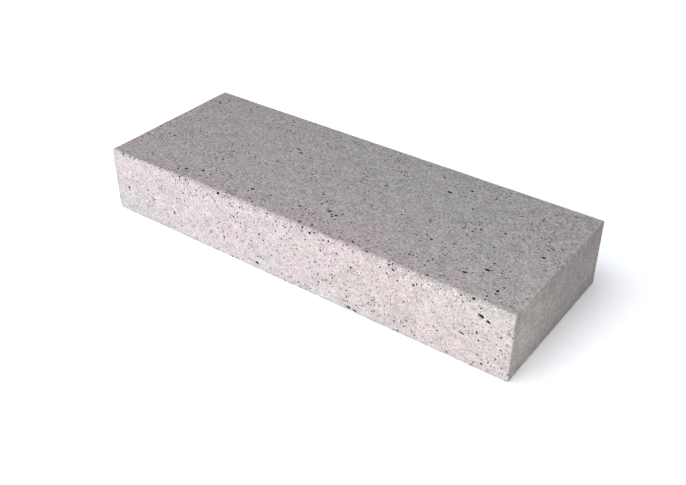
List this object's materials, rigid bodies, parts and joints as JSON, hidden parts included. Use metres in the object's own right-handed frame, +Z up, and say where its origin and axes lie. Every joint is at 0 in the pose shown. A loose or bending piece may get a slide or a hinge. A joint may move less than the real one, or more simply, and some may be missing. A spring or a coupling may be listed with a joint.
{
  "type": "concrete step block",
  "caption": "Solid cast concrete step: a long low rectangular block with flat faces, a round nosing along the front of its tread and fine open pores.",
  "frame": {"origin": "centre of the underside, on the surface that the block lies on", "axes": "+X along the length, -Y out of the riser, which is the front, +Z up out of the tread"},
  "size_m": [1, 0.37, 0.15],
  "materials": {
    "concrete": "matte"
  },
  "bodies": {
    "root": {"step_block": "concrete"}
  },
  "joints": []
}
